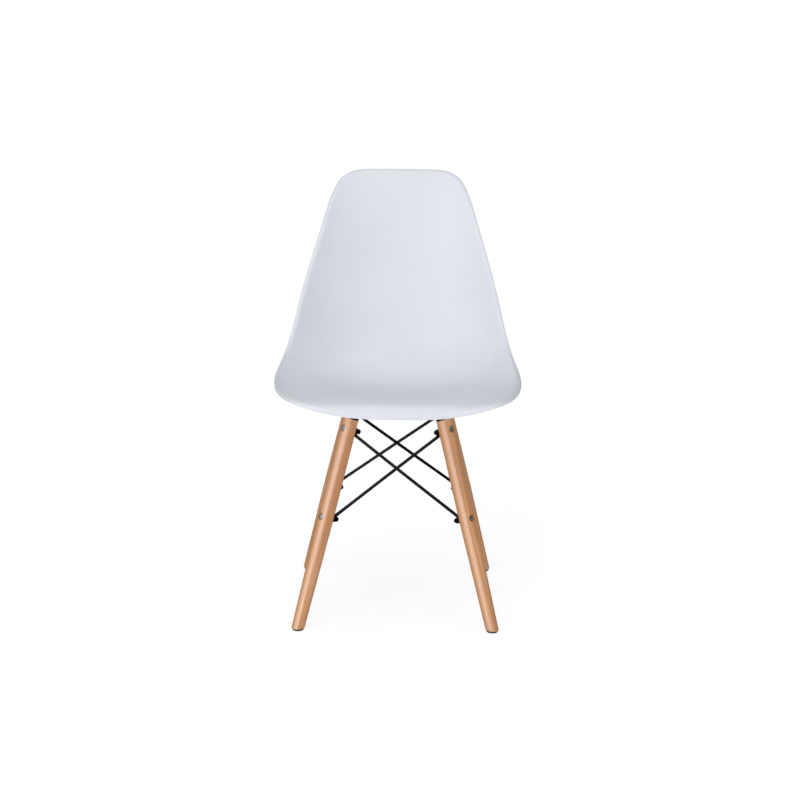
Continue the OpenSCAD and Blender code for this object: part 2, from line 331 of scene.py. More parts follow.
def combined(shape, others, operation):
    """Cuts other shapes out of a shape, adds them, or keeps what they share."""
    obj = mesh_object("work", shape)
    for other in others:
        tool = mesh_object("tool", other)
        step = obj.modifiers.new("step", "BOOLEAN")
        step.operation = operation
        step.solver = "EXACT"
        step.object = tool
        evaluated = obj.evaluated_get(bpy.context.evaluated_depsgraph_get())
        result = bpy.data.meshes.new_from_object(evaluated)
        obj.modifiers.clear()
        obj.data = result
        bpy.data.objects.remove(tool)
    points = np.array([v.co for v in obj.data.vertices]) / MM
    faces = [list(p.vertices) for p in obj.data.polygons]
    bpy.data.objects.remove(obj)
    return points, faces


def piece(name, shape, material, nodes, crease=32):
    """A finished piece of the chair, standing for its CAD nodes."""
    obj = mesh_object(name, shape)
    obj.data.polygons.foreach_set("use_smooth", [True] * len(obj.data.polygons))
    obj.data.set_sharp_from_angle(angle=math.radians(crease))
    obj.data.materials.append(material)
    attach(obj, "root")
    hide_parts(*nodes)
    return obj


def four(shape, place):
    """The same shape at all four corners."""
    return joined(*[moved(place(i), shape) for i in range(4)])


# ---- Materials ------------------------------------------------------------------------------

def colour(red, green, blue):
    """Linear colour from a display colour of 0 to 255."""
    shares = [c / 255 for c in (red, green, blue)]
    return (*[c / 12.92 if c <= 0.04045 else ((c + 0.055) / 1.055) ** 2.4 for c in shares], 1)


class Surface:
    """A Principled material, with short ways to add nodes to it."""

    def __init__(self, name, **sockets):
        self.material = bpy.data.materials.new(name)
        self.material.use_nodes = True
        self.tree = self.material.node_tree
        self.shader = self.tree.nodes["Principled BSDF"]
        for socket, value in sockets.items():
            self.shader.inputs[socket.replace("_", " ")].default_value = value

    def node(self, kind, inputs=None, **settings):
        made = self.tree.nodes.new(kind)
        for key, value in settings.items():
            setattr(made, key, value)
        for key, value in (inputs or {}).items():
            if isinstance(value, bpy.types.NodeSocket):
                self.tree.links.new(value, made.inputs[key])
            else:
                made.inputs[key].default_value = value
        return made

    def place(self):
        """Place on the chair, in metres."""
        return self.node("ShaderNodeTexCoord").outputs["Object"]

    def stretched(self, vector, scale):
        return self.node("ShaderNodeVectorMath", {0: vector, 1: scale}, operation="MULTIPLY").outputs[0]

    def noise(self, vector, scale, detail=2.0, roughness=0.5):
        inputs = {"Vector": vector, "Scale": scale, "Detail": detail, "Roughness": roughness}
        return self.node("ShaderNodeTexNoise", inputs).outputs["Fac"]

    def ramp(self, factor, *stops):
        made = self.node("ShaderNodeValToRGB", {"Fac": factor})
        elements = made.color_ramp.elements
        while len(elements) < len(stops):
            elements.new(1)
        for element, (position, value) in zip(elements, stops):
            element.position = position
            element.color = value
        return made.outputs["Color"]

    def tones(self, factor, first, second, start=0.3, end=0.7):
        """A colour that goes from the first display colour to the second."""
        return self.ramp(factor, (start, colour(*first)), (end, colour(*second)))

    def span(self, factor, low, high, start=0.3, end=0.7):
        """A number that goes from low to high as the factor goes from start to end."""
        inputs = {"Value": factor, "From Min": start, "From Max": end, "To Min": low, "To Max": high}
        return self.node("ShaderNodeMapRange", inputs).outputs["Result"]

    def mixed(self, share, first, second):
        made = self.node("ShaderNodeMix", data_type="RGBA")
        for socket, value in ((0, share), (6, first), (7, second)):
            if isinstance(value, bpy.types.NodeSocket):
                self.tree.links.new(value, made.inputs[socket])
            else:
                made.inputs[socket].default_value = value
        return made.outputs[2]

    def bump(self, height, distance, strength):
        inputs = {"Height": height, "Distance": distance, "Strength": strength}
        return self.node("ShaderNodeBump", inputs).outputs["Normal"]

    def wire(self, socket, output):
        self.tree.links.new(output, self.shader.inputs[socket])


def seat_plastic():
    """Cool white polypropylene with a fine moulded texture."""
    s = Surface("seat_plastic", IOR=1.49, Specular_IOR_Level=0.5)
    place = s.place()
    cloud = s.noise(place, 9, 3)
    grain = s.noise(place, 1500, 1)
    s.wire("Base Color", s.tones(cloud, (231, 235, 242), (235, 239, 245)))
    s.wire("Roughness", s.span(s.noise(place, 60, 4), 0.36, 0.44))
    s.wire("Normal", s.bump(grain, 0.00002, 0.25))
    return s.material


def beech():
    """Lacquered beech turned along the leg. The grain attribute holds the place in the leg."""
    s = Surface("beech", IOR=1.8, Coat_Weight=1.0, Coat_Roughness=0.3, Coat_IOR=2.0)
    place = s.node("ShaderNodeAttribute", attribute_name="grain").outputs["Vector"]
    warp = s.noise(s.stretched(place, (12, 12, 3)), 1, 2)
    bands = s.node("ShaderNodeTexWave", {
        "Vector": s.stretched(place, (1, 0.55, 0.045)), "Scale": 95.0, "Distortion": 5.0,
        "Detail": 3.0, "Detail Scale": 0.5}, bands_direction="X").outputs["Fac"]
    fibres = s.noise(s.stretched(place, (1300, 1300, 34)), 1, 3, 0.65)
    flecks = s.noise(s.stretched(place, (900, 2400, 260)), 1, 1)
    dark, middle, light = colour(220, 155, 100), colour(233, 171, 115), colour(242, 184, 129)
    tone = s.ramp(bands, (0.0, dark), (0.55, middle), (1.0, light))
    tone = s.mixed(s.span(fibres, 0.0, 0.5, 0.38, 0.78), tone, colour(196, 124, 72))
    tone = s.mixed(s.span(flecks, 0.0, 0.6, 0.62, 0.74), tone, colour(156, 88, 48))
    tone = s.mixed(s.span(warp, 0.0, 0.3, 0.35, 0.65), tone, colour(210, 138, 84))
    s.wire("Base Color", tone)
    s.wire("Roughness", s.span(fibres, 0.34, 0.5))
    s.wire("Normal", s.bump(fibres, 0.00008, 0.35))
    return s.material


def black_steel():
    """Satin black powder coat."""
    s = Surface("black_steel", IOR=1.4)
    place = s.place()
    peel = s.noise(place, 700, 2)
    s.wire("Base Color", s.tones(s.noise(place, 25, 3), (4, 4, 5), (9, 9, 10)))
    s.wire("Roughness", s.span(s.noise(place, 140, 3), 0.24, 0.34))
    s.wire("Normal", s.bump(peel, 0.00006, 0.5))
    return s.material


def black_nut():
    """Black oxide on the nuts and washers."""
    s = Surface("black_nut", Metallic=0.6, IOR=1.5)
    place = s.place()
    s.wire("Base Color", s.tones(s.noise(place, 180, 3), (12, 12, 14), (26, 26, 27), end=0.75))
    s.wire("Roughness", s.span(s.noise(place, 600, 3), 0.26, 0.42))
    s.wire("Normal", s.bump(s.noise(place, 1800, 2), 0.00002, 0.4))
    return s.material


def zinc_steel():
    """Zinc-plated bolts, screws and nails."""
    s = Surface("zinc_steel", Metallic=1.0)
    place = s.place()
    s.wire("Base Color", s.tones(s.noise(place, 220, 4), (196, 198, 200), (222, 221, 216)))
    s.wire("Roughness", s.span(s.noise(place, 900, 3), 0.36, 0.5))
    s.wire("Normal", s.bump(s.noise(place, 2500, 2), 0.00001, 0.5))
    return s.material


def brass():
    """Plain brass of the threaded inserts."""
    s = Surface("brass", Metallic=1.0)
    place = s.place()
    s.wire("Base Color", s.tones(s.noise(place, 300, 3), (188, 150, 84), (214, 178, 110)))
    s.wire("Roughness", s.span(s.noise(place, 700, 3), 0.25, 0.4))
    s.wire("Normal", s.bump(s.noise(place, 2000, 2), 0.00002, 0.5))
    return s.material


def rubber():
    """Matt black rubber of the mounts."""
    s = Surface("rubber", IOR=1.5)
    place = s.place()
    s.wire("Base Color", s.tones(s.noise(place, 80, 4), (30, 30, 31), (44, 43, 42)))
    s.wire("Roughness", s.span(s.noise(place, 300, 3), 0.66, 0.82))
    s.wire("Normal", s.bump(s.noise(place, 1600, 3), 0.00005, 0.6))
    return s.material


def glide_plastic():
    """Dark grey nylon."""
    s = Surface("glide_plastic", IOR=1.5)
    place = s.place()
    s.wire("Base Color", s.tones(s.noise(place, 120, 3), (58, 57, 56), (74, 72, 70)))
    s.wire("Roughness", s.span(s.noise(place, 500, 4), 0.42, 0.6))
    s.wire("Normal", s.bump(s.noise(place, 1200, 2), 0.00005, 0.5))
    return s.material


# ---- Seat -----------------------------------------------------------------------------------

def seat_line(s):
    """Cubic B-spline through the stations, and its slope, at each s."""
    ends = [2 * STATIONS[0] - STATIONS[1]], [2 * STATIONS[-1] - STATIONS[-2]]
    knots = np.concatenate([ends[0], STATIONS, ends[1]])
    i = np.minimum(np.floor(s), len(STATIONS) - 2).astype(int)
    f = (s - i)[..., None]
    g = 1 - f
    a, b, c, d = (knots[i + k] for k in range(4))
    place = (a * g**3 + b * (3 * f**3 - 6 * f**2 + 4) + c * (3 * g**3 - 6 * g**2 + 4) + d * f**3) / 6
    slope = (d * f**2 - a * g**2 + b * (3 * f**2 - 4 * f) + c * (4 * g - 3 * g**2)) / 2
    return place, slope


def seat_point(across, along):
    """Sitter's side: across from -1 (left) to 1, along from -1 (front) to 1 (top)."""
    q, d = seat_line((along + 1) / 2 * (len(STATIONS) - 1))
    length = np.hypot(d[..., 0], d[..., 1])
    ty, tz = d[..., 0] / length, d[..., 1] / length
    rise = q[..., 3] * np.abs(across) ** DISH_POWER
    return np.stack([q[..., 2] * across, q[..., 0] - tz * rise + BASE_Y, q[..., 1] + ty * rise], -1)


def unit(v):
    return v / np.linalg.norm(v, axis=-1, keepdims=True)


def seat_normal(across, along, step=0.002):
    """Direction square to the seat, towards the sitter."""
    du = seat_point(np.minimum(across + step, 1), along) - seat_point(np.maximum(across - step, -1), along)
    dv = seat_point(across, np.minimum(along + step, 1)) - seat_point(across, np.maximum(along - step, -1))
    return unit(np.cross(du, dv))


def seat_grid():
    """Points and normals of the sitter's side, its corners rounded."""
    b, a = np.meshgrid(np.linspace(-1, 1, ALONG + 1), np.linspace(-1, 1, ACROSS + 1), indexing="ij")
    n = np.where(b < 0, FRONT_CORNER, TOP_CORNER)
    across = a * (1 - np.abs(b) ** n / (n + 1))
    along = b * (1 - np.abs(a) ** n / (n + 1))
    return seat_point(across, along).reshape(-1, 3), seat_normal(across, along).reshape(-1, 3)


def rim_cells():
    """Grid points round the edge: along the front, up the right, back over the top, down the left."""
    row = ACROSS + 1
    return np.array(
        [k for k in range(ACROSS)]
        + [k * row + ACROSS for k in range(ALONG)]
        + [ALONG * row + ACROSS - k for k in range(ACROSS)]
        + [(ALONG - k) * row for k in range(ALONG)])


def lip_profile(steps=8):
    """The rolled edge's section round the roll's axis: (towards the sitter, outwards)."""
    half = SHELL_T / 2
    middle_r = LIP_R - half
    stop = math.radians(LIP_TURN) - half / middle_r
    arc = np.linspace(0, stop, steps + 1)[1:]
    outer = [(LIP_R * math.cos(t), LIP_R * math.sin(t)) for t in arc]
    end = []
    c, s = math.cos(stop), math.sin(stop)
    for t in np.linspace(0, math.pi, steps + 1)[1:-1]:
        r, forward = middle_r + half * math.cos(t), half * math.sin(t)
        end.append((r * c - forward * s, r * s + forward * c))
    inner_r = LIP_R - SHELL_T
    inner = [(inner_r * math.cos(t), inner_r * math.sin(t)) for t in arc[::-1]]
    return outer + end + inner


def seat_skin():
    """Both sides of the wall and the rolled edge between them."""
    points, normals = seat_grid()
    size, row = len(points), ACROSS + 1
    rim = rim_cells()
    edge, n = points[rim], normals[rim]
    out = unit(np.cross(np.roll(edge, -1, 0) - np.roll(edge, 1, 0), n))
    rings = [edge - LIP_R * n + up * n + aside * out for up, aside in lip_profile()]
    loops = [rim] + [2 * size + k * len(rim) + np.arange(len(rim)) for k in range(len(rings))] + [rim + size]
    faces = []
    for j in range(ALONG):
        for i in range(ACROSS):
            c = j * row + i
            faces.append([c, c + 1, c + row + 1, c + row])
            faces.append([size + c, size + c + row, size + c + row + 1, size + c + 1])
    for lower, upper in zip(loops, loops[1:]):
        for a, b, c, d in zip(lower, np.roll(lower, -1), np.roll(upper, -1), upper):
            faces.append([int(a), int(b), int(c), int(d)])
    return np.concatenate([points, points - SHELL_T * normals, *rings]), faces


def underside(x, y):
    """Height of the seat's underside over each place in the pan, found by halving along the seat."""
    low, high = np.full(x.shape, -0.95), np.full(x.shape, 0.2)
    for _ in range(30):
        mid = (low + high) / 2
        width = seat_line((mid + 1) / 2 * (len(STATIONS) - 1))[0][..., 2]
        back = seat_point(x / width, mid)[..., 1]
        low, high = np.where(back < y, mid, low), np.where(back < y, high, mid)
    across = x / width
    return seat_point(across, mid)[..., 2] - SHELL_T / seat_normal(across, mid)[..., 2]


def boss(i, fillet=5, draft=0.6, chamfer=0.8, sides=64, steps=6):
    """A boss under the seat that flares into the wall, with four gussets."""
    middle = moved(screw_frame(i), (np.zeros((1, 3)), []))[0][0]
    angles = circle_angles(sides)
    cos, sin = np.cos(angles), np.sin(angles)

    def ring(radius, lift):
        x, y = middle[0] + radius * cos, middle[1] + radius * sin
        return np.stack([x, y, underside(x, y) + lift], 1)

    def level(radius, z):
        return np.stack([middle[0] + radius * cos, middle[1] + radius * sin, np.full(sides, z)], 1)

    rings = [level(BOSS_D / 2 - chamfer, BOSS_Z), level(BOSS_D / 2, BOSS_Z + chamfer)]
    for t in np.linspace(0, math.pi / 2, steps + 1):
        rings.append(ring(BOSS_D / 2 + draft + fillet * (1 - math.cos(t)), -fillet * (1 - math.sin(t))))
    rings.append(ring(BOSS_D / 2 + draft + fillet, SHELL_T / 3))
    return joined(loft(rings), *[gusset(middle, 45 + 90 * k) for k in range(4)])


def gusset(middle, angle, reach=17, thick=2.4, rise=9, sunk=1.5):
    """A thin rib from the side of a boss out along the underside."""
    c, s = math.cos(math.radians(angle)), math.sin(math.radians(angle))
    rings = []
    for share in np.linspace(0, 1, 9):
        along = BOSS_D / 2 - sunk + reach * share
        x, y = middle[0] + along * c, middle[1] + along * s
        top = underside(np.array([x]), np.array([y]))[0]
        low = top - (top - BOSS_Z - rise) * (1 - share) ** 1.6 - 0.2
        roof = top + sunk
        section = [(-thick / 2, low), (thick / 2, low), (thick / 2, roof), (-thick / 2, roof)]
        rings.append([(x - s * side, y + c * side, z) for side, z in section])
    return loft(rings)


def make_seat():
    shape = joined(seat_skin(), *[boss(i) for i in range(4)])
    piece("moulded_seat", shape, seat_plastic(), ["seat_shell"], crease=40)


# ---- Legs -----------------------------------------------------------------------------------

def leg_level(z):
    """Height along the leg, as a function of x, of the level plane at height z over the floor."""
    lean = math.radians(LEG_LEAN)
    return lambda x: (z - x * math.sin(lean)) / math.cos(lean)


def leg_blank(sides=96, ease=0.8, fade=60):
    """Tapered dowel, eased at both ends. Its rings are level at the foot and square to it from fade up."""
    angles = circle_angles(sides)
    lean = math.radians(LEG_LEAN)
    foot = GLIDE_T / math.cos(lean)
    turns = np.linspace(0, math.pi / 2, 5)
    first, last = foot + 6, LEG_L - LEG_EASE
    rows = [(foot + ease * (1 - math.cos(t)), -ease * (1 - math.sin(t)), 1) for t in turns]
    rows += [(z, 0, max(0.0, 1 - z / fade)) for z in np.linspace(first, last, 44)[:-1]]
    rows += [(LEG_L - LEG_EASE * (1 - math.sin(t)), -LEG_EASE * (1 - math.cos(t)), 0) for t in turns]
    rings = []
    for z, inwards, level in rows:
        r = FOOT_D / 2 + (LEG_D - FOOT_D) / 2 * min(1.0, z / TAPER_L) + inwards
        x = r * np.cos(angles)
        rings.append(np.stack([x, r * np.sin(angles), z - level * x * math.tan(lean)], 1))
    return loft(rings)


def leg_shape():
    """The dowel with its notch, flats, bores and head pockets, in the leg's own frame."""
    wide = LEG_D
    cuts = [
        block((-wide, HORN_X), (-wide, wide), NOTCH_FROM, LEG_L + wide),
        block((-wide, TAB_T - INNER_FACE), (-wide, wide), TAB_FROM, LEG_L + wide),
        block((-wide, -INNER_FACE), (-wide, wide), FLAT_FROM, FLAT_TO),
    ]
    for height in (LOWER_BOLT, UPPER_BOLT):
        along_bolt = shift(0, 0, height) @ turn("Y", -90)
        cuts.append(moved(along_bolt, cylinder(BORE_D, -wide, wide, 48)))
        crown, pocket_r = 0.6 - LEG_D / 2, POCKET_D / 2
        pocket = [(pocket_r, -HEAD_SEAT), (pocket_r, crown), (pocket_r + POCKET_EASE, crown - POCKET_EASE)]
        cuts.append(moved(along_bolt, lathe(pocket)))
    cuts.append(moved(np.linalg.inv(leg_frame(0)) @ glide_frame(0), cylinder(NAIL_D, -5, NAIL_L + 1, 32)))
    return combined(leg_blank(), cuts, "DIFFERENCE")


def make_legs():
    shape, wood = leg_shape(), beech()
    chance = np.random.default_rng(7)
    for i, corner in enumerate(CORNERS):
        leg = piece("beech_leg_" + corner, moved(leg_frame(i), shape), wood, ["leg_" + corner])
        add_grain(leg, i, chance.uniform(0, 360), chance.uniform(0, 3))


def add_grain(leg, i, spin, start):
    """Stores each point's place in the leg, turned and shifted so that no two legs share their grain."""
    to_grain = shift(GRAIN_HEART, 0, start / MM) @ turn("Z", spin) @ np.linalg.inv(leg_frame(i))
    co = np.array([v.co for v in leg.data.vertices]) / MM
    grain = moved(to_grain, (co, []))[0] * MM
    store = leg.data.attributes.new("grain", "FLOAT_VECTOR", "POINT")
    store.data.foreach_set("vector", grain.astype(np.float32).ravel())


def make_glides():
    """A disc under each foot with a recess for its nail, and the nails."""
    chamfer, outer, shank, head = 1.0, GLIDE_D / 2, NAIL_D / 2, NAIL_HEAD_D / 2
    profile = rounded([
        (outer - chamfer, 0), (outer, chamfer), (outer, GLIDE_T), (shank, GLIDE_T),
        (shank, NAIL_DEEP), (head, NAIL_DEEP), (head, 0)], [0.8, 0.8, 0.5, 0, 0, 0, 0.3])
    plastic = glide_plastic()
    for i, corner in enumerate(CORNERS):
        shape = moved(glide_frame(i), lathe(profile, 64, loop=True))
        piece("foot_glide_" + corner, shape, plastic, ["glide_" + corner])
    nail = rounded([
        (0, 0.5), (1.8, 0.6), (head, 1.4), (head, NAIL_DEEP), (shank, NAIL_DEEP),
        (shank, NAIL_L - 3), (0, NAIL_L)], [0, 0.8, 0.4, 0.3, 0, 0, 0], closed=False)
    piece("glide_nail_set", four(lathe(nail, 32), glide_frame), METALS["zinc"], ["glide_nails"])


# ---- Spider ---------------------------------------------------------------------------------

def make_hub():
    inner, outer = HUB_BORE / 2, HUB_D / 2
    profile = rounded([(inner, HUB_Z), (outer, HUB_Z), (outer, ARM_Z), (inner, ARM_Z)], PLATE_EDGE)
    shape = moved(corner_frame(0), lathe(profile, 128, loop=True))
    piece("hub_plate", shape, METALS["black"], ["spider_hub"])


def weld_bead(reach=14, radius=1.9, ripples=15):
    """Rippled weld where the hub's edge meets the underside of an arm."""
    rings = []
    angles = circle_angles(12)
    for share in np.linspace(-1, 1, 61):
        around = math.radians(reach * share)
        ripple = 0.9 + 0.1 * math.cos(share * ripples * math.pi)
        lump = radius * ripple * math.sqrt(max(0.05, 1 - share ** 6))
        out = HUB_D / 2 + 0.3 + lump * np.cos(angles)
        rings.append(np.stack([
            out * math.cos(around), out * math.sin(around), ARM_Z - 0.3 + lump * np.sin(angles)], 1))
    return loft(rings)


def arm_shoe():
    """Block that fills the notch in a leg, and the tab down the leg's inner face, in the leg's own frame."""
    fill = combined(
        leg_blank(),
        [block((-INNER_FACE, HORN_X), (-LEG_D, LEG_D), NOTCH_FROM, leg_level(MOUNT_Z - SHOE_DROP))],
        "INTERSECT")
    tab = combined(
        leg_blank(),
        [block((-INNER_FACE, TAB_T - INNER_FACE), (-LEG_D, LEG_D), TAB_FROM, NOTCH_FROM + 1)],
        "INTERSECT")
    return combined(fill, [tab], "UNION")


def arm_shape():
    """One arm in its corner's frame."""
    half = ARM_W / 2
    corners = [(ARM_FROM, -half), (ARM_TO, -half), (ARM_TO, half), (ARM_FROM, half)]
    outline = rounded(corners, [1, ARM_CORNER, ARM_CORNER, 1], steps=6)
    strap = plate(outline, ARM_Z, ARM_Z + ARM_T, PLATE_EDGE)
    to_corner = np.linalg.inv(corner_frame(0)) @ leg_frame(0)
    arm = combined(strap, [moved(to_corner, arm_shoe())], "UNION")
    bores = [
        moved(shift(SCREW_REACH, 0, 0), cylinder(BORE_D, ARM_Z - 1, ARM_Z + ARM_T + 1, 48)),
        moved(to_corner @ shift(0, 0, UPPER_BOLT) @ turn("Y", -90), cylinder(BORE_D, 0, LEG_D, 48)),
    ]
    return joined(combined(arm, bores, "DIFFERENCE"), weld_bead())


def make_arms():
    shape = arm_shape()
    for i, corner in enumerate(CORNERS):
        piece("arm_" + corner, moved(corner_frame(i), shape), METALS["black"],
              ["spider_arm_" + corner])


def make_mounts():
    """Rubber between two bonded plates, waisted in the middle."""
    r, waist, plate_t, ease, clear = MOUNT_D / 2, 4.2, 2.1, 0.5, 2.6
    hollow = [(r - waist * math.sin(t), MOUNT_Z + clear + (BOSS_Z - MOUNT_Z - 2 * clear) * t / math.pi)
              for t in np.linspace(0, math.pi, 13)]
    corners = [(BORE_D / 2, MOUNT_Z), (r - ease, MOUNT_Z), (r, MOUNT_Z + ease), (r, MOUNT_Z + plate_t),
               *hollow,
               (r, BOSS_Z - plate_t), (r, BOSS_Z - ease), (r - ease, BOSS_Z), (BORE_D / 2, BOSS_Z)]
    material = rubber()
    for i, corner in enumerate(CORNERS):
        shape = moved(screw_frame(i), lathe(corners, 80, loop=True))
        piece("waisted_mount_" + corner, shape, material, ["rubber_mount_" + corner])


# ---- Braces ---------------------------------------------------------------------------------

def leg_place(i, x, y, z):
    return (leg_frame(i) @ np.array([x, y, z, 1.0]))[:3]


def rod_end(i, height, layer, side, up):
    """At one end: the eye's centre, the blade's direction, the start of the round rod, and inwards."""
    fan = math.radians(EYE_FAN)
    flat = -INNER_FACE - layer * EYE_T - EYE_T / 2
    eye = leg_place(i, flat, 0, height)
    blade = leg_frame(i)[:3, :3] @ np.array([0, side * math.sin(fan), up * math.cos(fan)])
    start = leg_place(i, -INNER_FACE - layer * EYE_T - ROD_D / 2 - ROD_GAP,
                      side * EYE_L * math.sin(fan), height + up * EYE_L * math.cos(fan))
    inwards = leg_frame(i)[:3, :3] @ np.array([-1.0, 0, 0])
    return eye, blade, start, inwards


def brace_ends(outer):
    """Upper end, middle and lower end of a rod on the rear side."""
    side, layer, top_leg, low_leg = (1, 0, 0, 1) if outer else (-1, 1, 1, 0)
    top = rod_end(top_leg, UPPER_BOLT, layer, side, -1)
    low = rod_end(low_leg, LOWER_BOLT, layer, -side, 1)
    share = abs(top[2][0]) / (abs(top[2][0]) + abs(low[2][0]))
    middle = top[2] + (low[2] - top[2]) * share + np.array([0, side * ROD_BOW, 0])
    return top, middle, low


def resampled(path, spans, nudge=0.4):
    """Points along a polyline at the given distances from its start, and their directions."""
    steps = np.linalg.norm(np.diff(path, axis=0), axis=1)
    run = np.concatenate([[0], np.cumsum(steps)])
    points = np.stack([np.interp(spans, run, path[:, k]) for k in range(3)], 1)
    ahead = np.stack([np.interp(spans + nudge, run, path[:, k]) for k in range(3)], 1)
    behind = np.stack([np.interp(spans - nudge, run, path[:, k]) for k in range(3)], 1)
    return points, unit(ahead - behind)


def smooth_step(x, start, end):
    t = np.clip((x - start) / (end - start), 0, 1)
    return t * t * (3 - 2 * t)


def rod_section(reach):
    """Half width, half thickness and squareness at a distance from the eye's centre, tip side negative."""
    r = EYE_D / 2
    disc = math.sqrt(max(0.0, r * r - reach * reach)) if reach < r else 0.0
    blade = 0.0 if reach < 0 else r * 0.8 + (ROD_D / 2 - r * 0.8) * min(1.0, reach / (EYE_L + 1))
    width = max(disc, blade, 0.9)
    round_share = float(smooth_step(reach, r, EYE_L + 5))
    thick = EYE_T / 2 + (ROD_D - EYE_T) / 2 * round_share
    return width, thick, 7 - 5 * round_share


def brace_shape(outer, sides=32):
    """A round rod whose ends are pressed flat into eyes, on the rear side."""
    top, middle, low = brace_ends(outer)
    tip, bend = EYE_D / 2 - 0.2, 0.55 * EYE_L
    corners = [top[0] - tip * top[1], top[0] + bend * top[1], top[2], middle,
               low[2], low[0] + bend * low[1], low[0] - tip * low[1]]
    path = rounded(corners, [0, 3.5, 5, 70, 5, 3.5, 0], steps=14, closed=False)
    length = np.linalg.norm(np.diff(path, axis=0), axis=1).sum()
    near = 30
    disc = tip * (1 - np.cos(np.linspace(0, math.pi / 2, 14)))
    end_spans = np.concatenate([disc, np.linspace(tip, near, 40)[1:]])
    middle_spans = np.linspace(near, length - near, 40)[1:-1]
    spans = np.concatenate([end_spans, middle_spans, (length - end_spans)[::-1]])
    points, along = resampled(path, spans)
    angles = circle_angles(sides)
    rings = []
    for point, direction, span in zip(points, along, spans):
        share = float(smooth_step(span, near, length - near))
        facing = top[3] * (1 - share) + low[3] * share
        facing = unit(facing - direction * (facing @ direction))
        aside = np.cross(direction, facing)
        width, thick, squareness = rod_section(min(span, length - span) - tip)
        c, s = np.cos(angles), np.sin(angles)
        wide = width * np.sign(c) * np.abs(c) ** (2 / squareness)
        deep = thick * np.sign(s) * np.abs(s) ** (2 / squareness)
        rings.append(point + wide[:, None] * aside + deep[:, None] * facing)
    top_leg, low_leg = (0, 1) if outer else (1, 0)
    bore = cylinder(BORE_D, INNER_FACE - 2, INNER_FACE + 2 * EYE_T + 2, 48)
    bores = [moved(bolt_frame(top_leg, UPPER_BOLT), bore), moved(bolt_frame(low_leg, LOWER_BOLT), bore)]
    return combined(loft(rings), bores, "DIFFERENCE")


def make_braces():
    for outer, layer in ((True, "outer"), (False, "inner")):
        shape = brace_shape(outer)
        for i, side in enumerate(SIDES):
            piece(f"rod_{side}_{layer}", moved(side_frame(i), shape), METALS["black"],
                  [f"brace_{side}_{layer}"])


# ---- Fasteners ------------------------------------------------------------------------------

def socket_head(head_d, head_h, shank_d, shank_l, sides=60):
    """Button head with a hexagon socket. The shank goes up from Z = 0 and the head down."""
    angles = circle_angles(sides)
    hole = hexagon(SOCKET_AF, angles)
    head_r, shank_r, point = head_d / 2, shank_d / 2, 0.8
    rim, band, ease, lead = SOCKET_AF / 2 + 1.0, 0.7, 0.2, 0.15
    floor = SOCKET_DEEP - head_h
    dome = [(rim + (head_r - rim) * math.sin(t), -head_h + (head_h - band) * (1 - math.cos(t)))
            for t in np.linspace(0, math.pi / 2, 10)]
    socket = [(0, floor), (hole * 0.5, floor - 0.3), (hole, floor - 0.4), (hole, lead - head_h),
              (hole + lead, -head_h)]
    shank = [(shank_r, 0), (shank_r, shank_l - point), (shank_r - point, shank_l), (0, shank_l)]
    return lathe([*socket, *dome, (head_r, -ease), (head_r - ease, 0), *shank], sides)


def ring_shape(outer_d, inner_d, low, thick, edge=0.35):
    return lathe(rounded([(inner_d / 2, low), (outer_d / 2, low), (outer_d / 2, low + thick),
                          (inner_d / 2, low + thick)], edge), 64, loop=True)


def cap_nut(sides=96):
    """Chamfered hexagon with a domed cap and a blind bore."""
    angles = circle_angles(sides)
    flats = hexagon(NUT_AF, angles)
    round_r = NUT_AF / 2 / math.cos(math.pi / 6)
    bore, cap_r, collar = BOLT_D / 2, NUT_AF / 2 - 0.45, 0.7
    profile = [(0, NUT_DEEP), (bore, NUT_DEEP - 0.5), (bore, 0), (NUT_AF / 2 - 0.4, 0)]
    profile += [(np.minimum(flats, round_r - 0.7 + z), z) for z in (0.15, 0.3, 0.5, 0.75)]
    profile += [(np.minimum(flats, round_r - 0.75 + drop * 1.5), NUT_HEX_H - drop)
                for drop in (0.5, 0.35, 0.2, 0)]
    profile += [(NUT_AF / 2 - 0.35, NUT_HEX_H + 0.05), (cap_r, NUT_HEX_H + 0.5)]
    profile += [(cap_r * math.cos(t), NUT_HEX_H + collar + (DOME_H - collar) * math.sin(t))
                for t in np.linspace(0, math.pi / 2, 12)]
    return lathe(profile, sides)


def make_fasteners():
    zinc, black = METALS["zinc"], METALS["nut"]
    bolt = moved(shift(0, 0, -HEAD_SEAT), socket_head(HEAD_D, HEAD_H, BOLT_D, BOLT_L))
    washer = ring_shape(WASHER_D, BOLT_D, INNER_FACE + 2 * EYE_T, WASHER_T)
    nut = moved(shift(0, 0, INNER_FACE + 2 * EYE_T + WASHER_T), cap_nut())
    for level, height in (("upper", UPPER_BOLT), ("lower", LOWER_BOLT)):
        def place(i):
            return bolt_frame(i, height)
        piece(level + "_bolt_set", four(bolt, place), zinc, [level + "_leg_bolts"])
        piece(level + "_washer_set", four(washer, place), black, [level + "_leg_washers"])
        piece(level + "_nut_set", four(nut, place), black, [level + "_cap_nuts"], crease=25)
    seat = ARM_Z - SCREW_WASHER_T
    screw = moved(shift(0, 0, seat), socket_head(SCREW_HEAD_D, SCREW_HEAD_H, BOLT_D, SCREW_L))
    piece("seat_screw_set", four(screw, screw_frame), zinc, ["seat_screws"])
    flat = ring_shape(SCREW_WASHER_D, BOLT_D, seat, SCREW_WASHER_T, edge=0.2)
    piece("seat_washer_set", four(flat, screw_frame), zinc, ["seat_washers"])


def finish_inserts():
    """The brass inserts inside the bosses keep their CAD shape."""
    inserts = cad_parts["seat_inserts"]
    inserts.data.materials.clear()
    inserts.data.materials.append(brass())


# ---- Studio ---------------------------------------------------------------------------------

